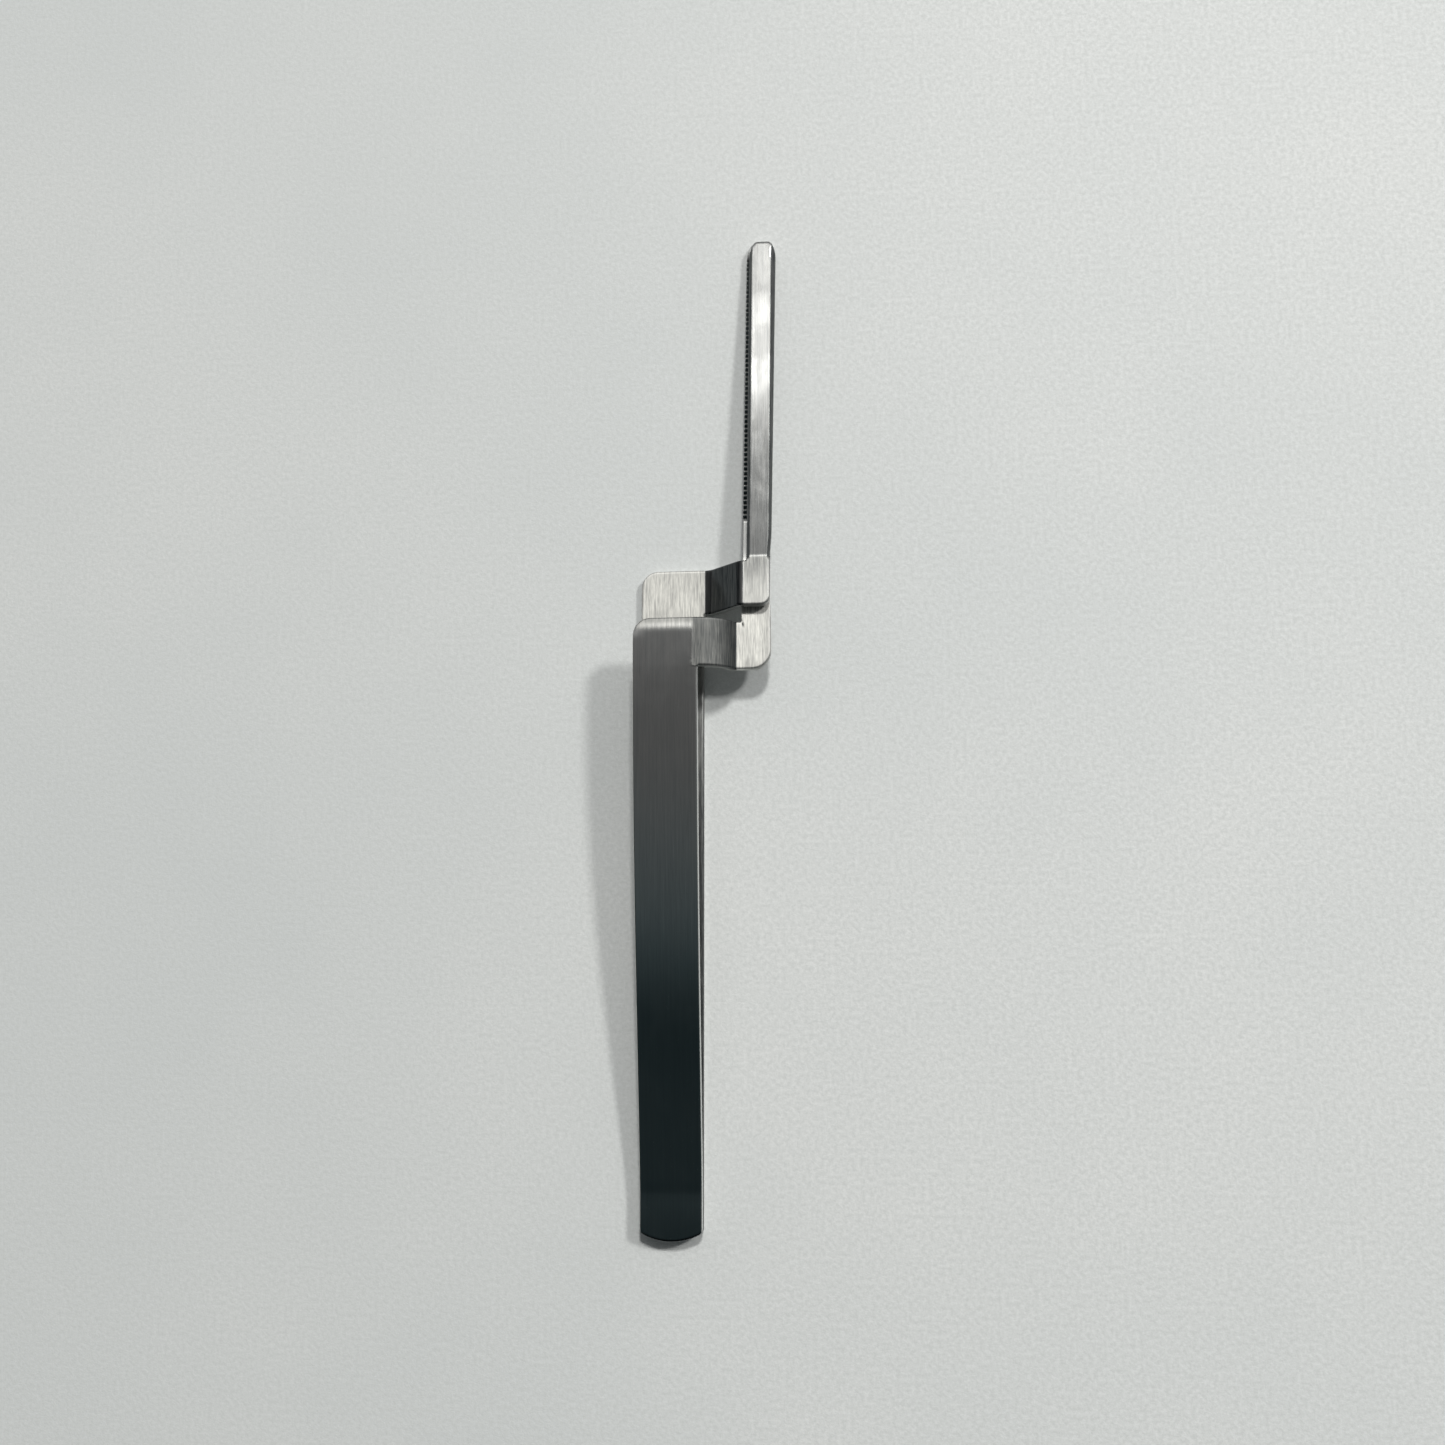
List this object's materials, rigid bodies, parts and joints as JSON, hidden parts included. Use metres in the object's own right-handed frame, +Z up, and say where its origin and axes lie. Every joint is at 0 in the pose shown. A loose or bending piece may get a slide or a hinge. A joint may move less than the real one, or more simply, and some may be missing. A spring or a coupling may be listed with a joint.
{
  "type": "cross-action forceps",
  "caption": "Straight cross-action forceps in brushed steel: sprung blades welded at the tail, jogs that cross to the side, and long serrated jaws that open when the handles are squeezed.",
  "frame": {"origin": "middle of the base: the centre of the bounding box in X and Y, on the plane that the forceps lies on", "axes": "+Y along the forceps from the tail to the jaw tips, +Z up out of the table, +X from the handles towards the side that the jaws are offset to"},
  "size_m": [0.0218, 0.156, 0.0103],
  "materials": {
    "blade_steel": "satin, brushed along the length",
    "weld_metal": "dull weld seam"
  },
  "bodies": {
    "upper": {"upper_blade": "blade_steel", "tail_weld": "weld_metal"},
    "lower": {"lower_blade": "blade_steel"}
  },
  "joints": [
    {"name": "squeeze", "type": "hinge", "parent": "upper", "child": "lower", "pos_m": [-0.00592, -0.0704, 0.0014], "axis": [1, 0, 0], "range_deg": [0, 4.8], "stiffness_Nm_per_rad": 4, "springref_deg": -1.72}
  ]
}
